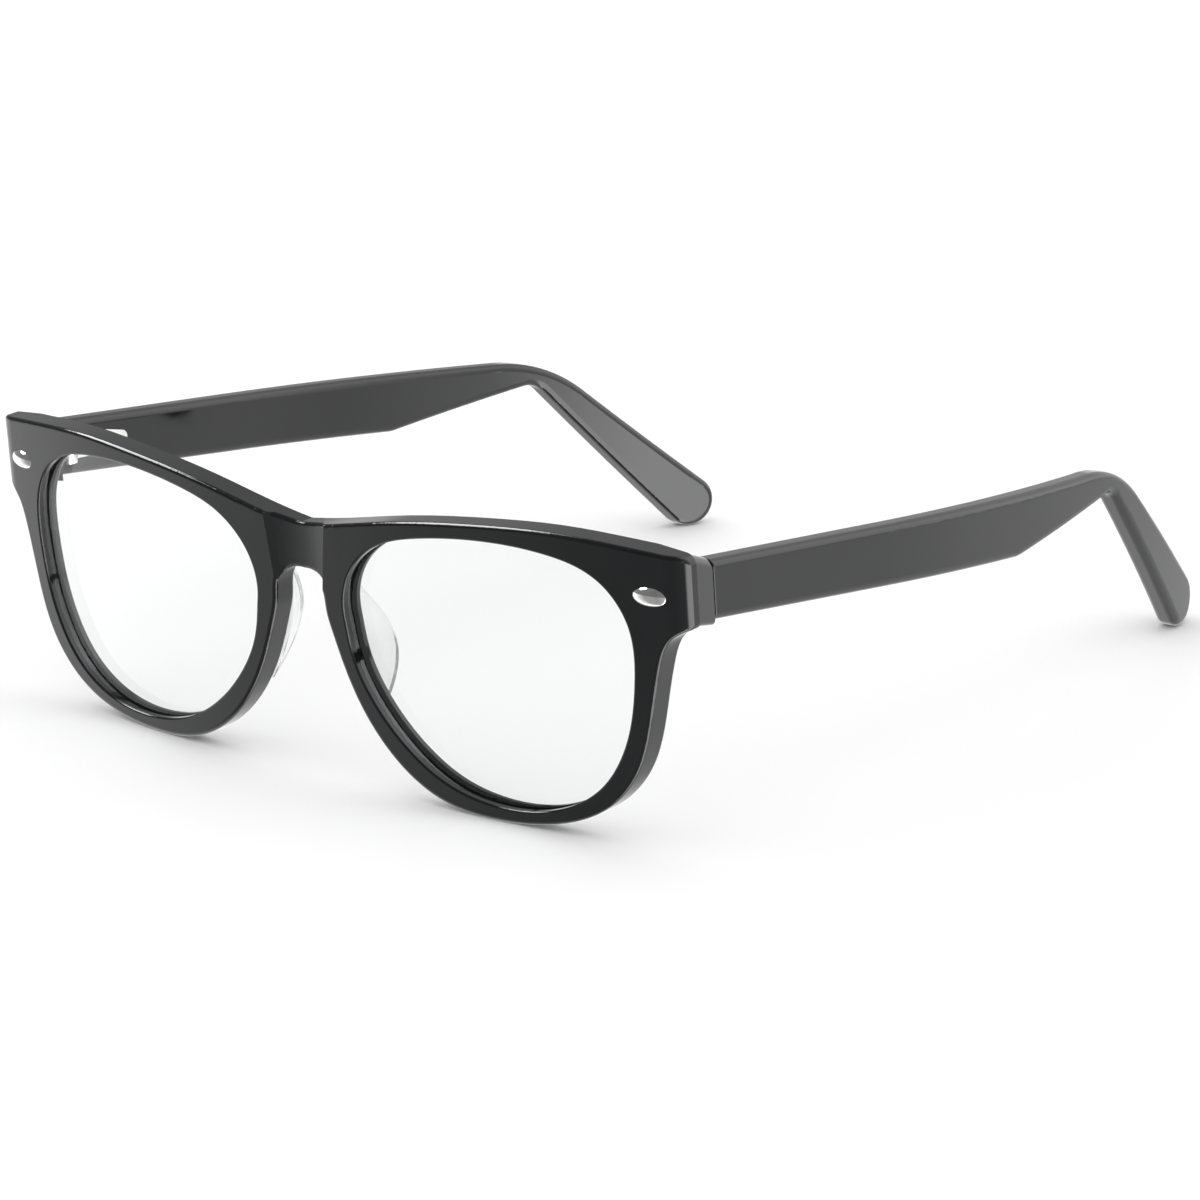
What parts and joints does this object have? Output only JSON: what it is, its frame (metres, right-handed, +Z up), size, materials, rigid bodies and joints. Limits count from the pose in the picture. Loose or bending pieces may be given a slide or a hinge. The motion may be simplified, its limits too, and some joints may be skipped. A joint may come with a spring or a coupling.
{
  "type": "eyeglasses",
  "caption": "Full-rim acetate eyeglasses with clear lenses in grooves, a recessed bridge, nose pads, barrel hinges and two folding temples curved down behind the ear.",
  "frame": {"origin": "on the table, below the middle of the open glasses' bounding box", "axes": "+Z up; the front faces -Y and the temples run to +Y; +X is the wearer's left"},
  "size_m": [0.1406, 0.1518, 0.0455],
  "materials": {
    "black_acetate": "polished",
    "clear_lens": "clear",
    "clear_acetate": "clear polished",
    "polished_silver": "polished",
    "hinge_metal": "nickel plated",
    "screw_steel": "satin",
    "core_wire": "drawn"
  },
  "bodies": {
    "front": {"front_frame": "black_acetate", "lens_left": "clear_lens", "nose_pad_left": "clear_acetate", "front_rivet_left": "polished_silver", "front_hinge_left": "hinge_metal", "hinge_screw_left": "screw_steel", "lens_right": "clear_lens", "nose_pad_right": "clear_acetate", "front_rivet_right": "polished_silver", "front_hinge_right": "hinge_metal", "hinge_screw_right": "screw_steel"},
    "left_temple": {"temple_left": "black_acetate", "temple_hinge_left": "hinge_metal", "temple_core_left": "core_wire", "temple_pin_left_front": "hinge_metal", "temple_pin_left_rear": "hinge_metal"},
    "right_temple": {"temple_right": "black_acetate", "temple_hinge_right": "hinge_metal", "temple_core_right": "core_wire", "temple_pin_right_front": "hinge_metal", "temple_pin_right_rear": "hinge_metal"}
  },
  "joints": [
    {"name": "left_temple_fold", "type": "hinge", "parent": "front", "child": "left_temple", "pos_m": [0.0634, -0.06227, 0.03907], "axis": [0, -0.0637, 0.998], "range_deg": [0, 84]},
    {"name": "right_temple_fold", "type": "hinge", "parent": "front", "child": "right_temple", "pos_m": [-0.0634, -0.06227, 0.03907], "axis": [0, 0.0637, -0.998], "range_deg": [0, 72]}
  ]
}
